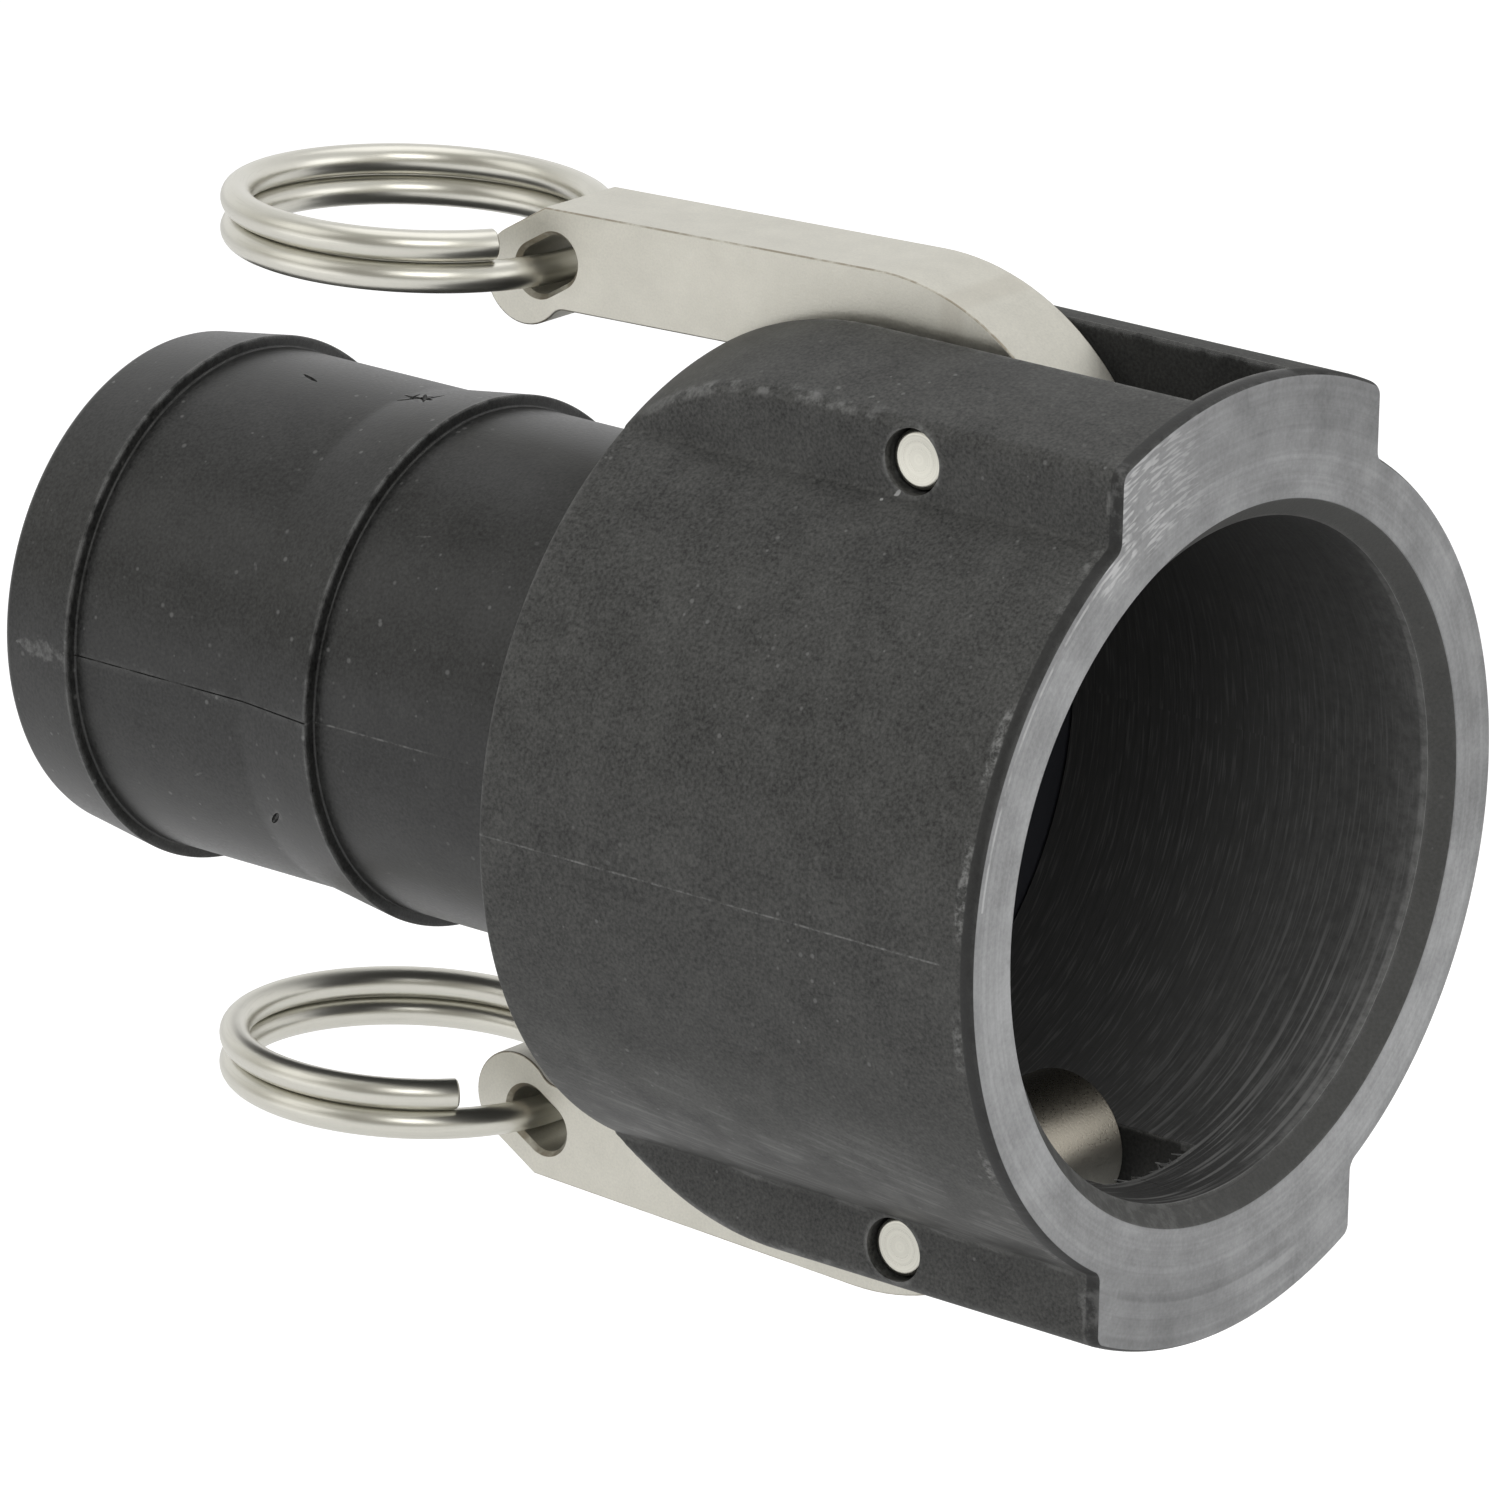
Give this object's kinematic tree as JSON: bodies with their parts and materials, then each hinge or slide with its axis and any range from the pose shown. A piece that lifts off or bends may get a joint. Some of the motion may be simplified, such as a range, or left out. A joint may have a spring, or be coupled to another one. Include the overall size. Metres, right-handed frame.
{
  "type": "camlock coupling",
  "caption": "Camlock hose coupler: a socket with steel cam arms that clamp an adapter, pull rings on the arms, a face gasket and a barbed hose shank.",
  "frame": {"origin": "centre of the mouth face, on the flow axis", "axes": "+X out of the mouth along the flow axis, +Z towards the upper cam arm, pivot pins along Y"},
  "size_m": [0.13, 0.0792, 0.0992],
  "materials": {
    "moulding": "black glass-filled polypropylene, matte, with a turned mouth face and bore",
    "seal": "black nitrile rubber",
    "arm_steel": "bead-blasted stainless steel casting, satin",
    "pin_steel": "turned stainless steel",
    "wire_steel": "bright drawn stainless steel wire"
  },
  "bodies": {
    "body": {"coupler_body": "moulding", "gasket": "seal", "upper_pin": "pin_steel", "lower_pin": "pin_steel"},
    "upper_arm": {"upper_arm": "arm_steel"},
    "lower_arm": {"lower_arm": "arm_steel"},
    "upper_ring": {"upper_ring": "wire_steel"},
    "lower_ring": {"lower_ring": "wire_steel"}
  },
  "joints": [
    {"name": "upper_arm_hinge", "type": "hinge", "parent": "body", "child": "upper_arm", "pos_m": [-0.0235, 0, 0.0377], "axis": [0, 1, 0], "range_deg": [0, 120]},
    {"name": "lower_arm_hinge", "type": "hinge", "parent": "body", "child": "lower_arm", "pos_m": [-0.0235, 0, -0.0377], "axis": [0, -1, 0], "range_deg": [0, 120]},
    {"name": "upper_ring_swing", "type": "hinge", "parent": "upper_arm", "child": "upper_ring", "pos_m": [-0.07989, 0, 0.0421], "axis": [0, 1, 0], "range_deg": [-20, 100]},
    {"name": "lower_ring_swing", "type": "hinge", "parent": "lower_arm", "child": "lower_ring", "pos_m": [-0.07989, 0, -0.0421], "axis": [0, -1, 0], "range_deg": [-20, 100]}
  ]
}
